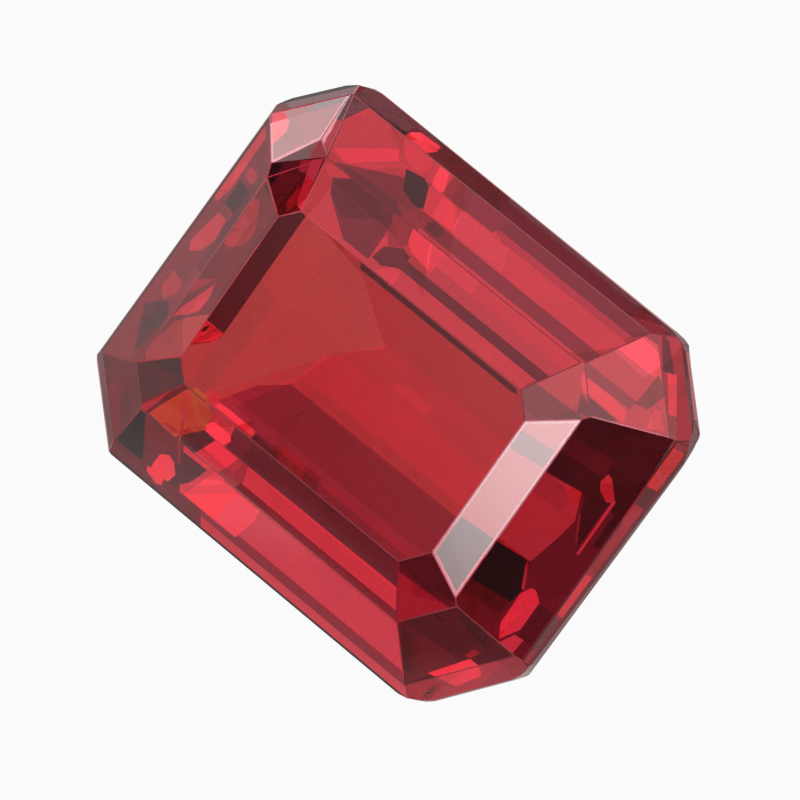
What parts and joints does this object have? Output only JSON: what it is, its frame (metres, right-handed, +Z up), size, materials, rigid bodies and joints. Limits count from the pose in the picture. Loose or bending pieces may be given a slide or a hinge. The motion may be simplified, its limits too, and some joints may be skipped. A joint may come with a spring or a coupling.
{
  "type": "emerald-cut red spinel gemstone",
  "caption": "Loose faceted gemstone of clear red spinel in an elongated eight-sided step cut, lying on a pavilion facet.",
  "frame": {"origin": "centre of the stone's bounding box in plan, on the surface it lies on", "axes": "+X along the stone's long axis, +Z up with the stone lying on the lowest facet of one long side, so the table faces up and towards -Y"},
  "size_m": [0.0082, 0.005, 0.0047],
  "materials": {
    "spinel": "polished, clear deep red"
  },
  "bodies": {
    "root": {"spinel": "spinel"}
  },
  "joints": []
}
